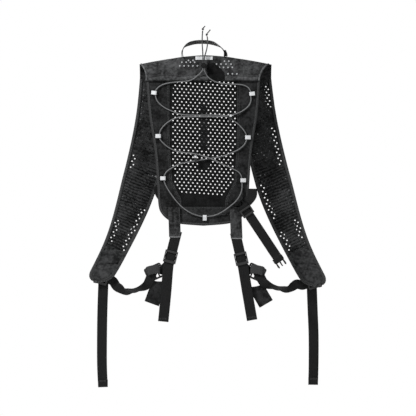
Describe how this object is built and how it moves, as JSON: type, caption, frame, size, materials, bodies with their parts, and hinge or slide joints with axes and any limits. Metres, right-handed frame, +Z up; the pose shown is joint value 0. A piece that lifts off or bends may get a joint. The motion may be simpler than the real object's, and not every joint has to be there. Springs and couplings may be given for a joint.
{
  "type": "harness vest",
  "caption": "Light harness vest: perforated back panel laced with shock cord, long padded shoulder straps, haul loop, and webbing with adjusters and a side buckle.",
  "frame": {"origin": "middle of a slim peg under the crown of the haul loop, from which the vest hangs", "axes": "+Z up along the back panel, -Y out of the panel's outer face, +Y towards the wearer, +X to the right seen from outside"},
  "size_m": [0.4993, 0.0719, 0.7619],
  "materials": {
    "shell": "matt woven",
    "yoke": "matt ripstop",
    "mesh": "matt, perforated",
    "foam": "matt mesh over foam",
    "binding": "woven tape",
    "webbing": "ribbed weave",
    "cord": "braided, flecked",
    "plastic": "satin moulded",
    "reflective": "bright reflective tape",
    "label": "printed patch",
    "spring": "drawn wire"
  },
  "bodies": {
    "pack": {"panel_binding": "binding", "side_panel_left": "shell", "side_panel_right": "shell", "mesh_window": "mesh", "lower_band": "shell", "back_liner": "foam", "yoke": "yoke", "label_patch": "label", "hose_flap": "shell", "shoulder_wing_left": "foam", "shoulder_wing_right": "foam", "sleeve_left": "webbing", "sleeve_right": "webbing", "lower_webbing_left": "webbing", "lower_webbing_right": "webbing", "ladder_lock_left": "plastic", "ladder_lock_right": "plastic", "anchor_webbing_left": "webbing", "anchor_webbing_right": "webbing", "side_tab_left": "shell", "side_tab_right": "shell", "link_webbing_left": "webbing", "link_webbing_right": "webbing", "cord_keeper_upper_left": "reflective", "cord_keeper_upper_right": "reflective", "cord_keeper_middle_left": "reflective", "cord_keeper_middle_right": "reflective", "cord_keeper_lower_left": "reflective", "cord_keeper_lower_right": "reflective", "cord_keeper_bottom": "reflective", "bungee_cord": "cord", "cord_tail_left": "cord", "cord_tail_right": "cord", "tail_knot_left": "cord", "tail_knot_right": "cord", "cord_clip_left": "plastic", "cord_clip_right": "plastic", "side_anchor_tab": "shell", "side_strap_spare": "webbing"},
    "haul_loop": {"haul_loop": "webbing"},
    "cord_lock": {"lock_barrel": "plastic", "lock_spring": "spring"},
    "lock_button": {"lock_button": "plastic"},
    "strap_left": {"strap_pad_left": "foam", "strap_binding_left": "binding", "tip_buckle_left": "plastic"},
    "strap_right": {"strap_pad_right": "foam", "strap_binding_right": "binding", "tip_buckle_right": "plastic"},
    "tail_left": {"tip_tail_left": "webbing"},
    "tail_right": {"tip_tail_right": "webbing"},
    "glide_left": {"tri_glide_left": "plastic"},
    "glide_right": {"tri_glide_right": "plastic"},
    "side_strap": {"side_strap_webbing": "webbing", "side_slider": "plastic"},
    "side_buckle": {"buckle_male": "plastic"},
    "side_strap_left": {"side_strap_left": "webbing", "buckle_female": "plastic"}
  },
  "joints": [
    {"name": "haul_loop_fold", "type": "hinge", "parent": "pack", "child": "haul_loop", "pos_m": [0, 0.0035, -0.026], "axis": [-1, 0, 0], "range_deg": [0, 75], "stiffness_Nm_per_rad": 0.05},
    {"name": "cord_lock_slide", "type": "slide", "parent": "pack", "child": "cord_lock", "axis": [0, 0, 1], "range_m": [0, 0.01]},
    {"name": "lock_button_press", "type": "slide", "parent": "cord_lock", "child": "lock_button", "axis": [0, 1, 0], "range_m": [0, 0.0025], "stiffness_N_per_m": 300, "deforming": ["lock_spring"]},
    {"name": "strap_left_swing", "type": "hinge", "parent": "pack", "child": "strap_left", "pos_m": [-0.1, 0.04585, -0.0723], "axis": [1, 0, 0], "range_deg": [-6, 14], "deforming": ["shoulder_wing_left", "link_webbing_left"]},
    {"name": "strap_right_swing", "type": "hinge", "parent": "pack", "child": "strap_right", "pos_m": [0.1065, 0.04585, -0.0723], "axis": [1, 0, 0], "range_deg": [-6, 14], "deforming": ["shoulder_wing_right", "link_webbing_right"]},
    {"name": "tail_left_swing", "type": "hinge", "parent": "strap_left", "child": "tail_left", "pos_m": [-0.213, 0.05075, -0.4985], "axis": [1, 0, 0], "range_deg": [0, 60]},
    {"name": "tail_right_swing", "type": "hinge", "parent": "strap_right", "child": "tail_right", "pos_m": [0.228, 0.05075, -0.5075], "axis": [1, 0, 0], "range_deg": [0, 60]},
    {"name": "tri_glide_left_slide", "type": "slide", "parent": "pack", "child": "glide_left", "axis": [0.243, 0, 0.97], "range_m": [0, 0.02]},
    {"name": "tri_glide_right_slide", "type": "slide", "parent": "pack", "child": "glide_right", "axis": [-0.2251, 0, 0.9743], "range_m": [0, 0.02]},
    {"name": "side_strap_swing", "type": "hinge", "parent": "pack", "child": "side_strap", "pos_m": [0.09, -0.009, -0.3335], "axis": [1, 0, 0], "range_deg": [-60, 2]},
    {"name": "side_buckle_tilt", "type": "hinge", "parent": "side_strap", "child": "side_buckle", "pos_m": [0.1541, -0.009, -0.4498], "axis": [0.8333, 0, 0.5528], "range_deg": [-30, 30]},
    {"name": "side_strap_left_swing", "type": "hinge", "parent": "pack", "child": "side_strap_left", "pos_m": [-0.099, 0.0107, -0.298], "axis": [1, 0, 0], "range_deg": [0, 50]}
  ]
}
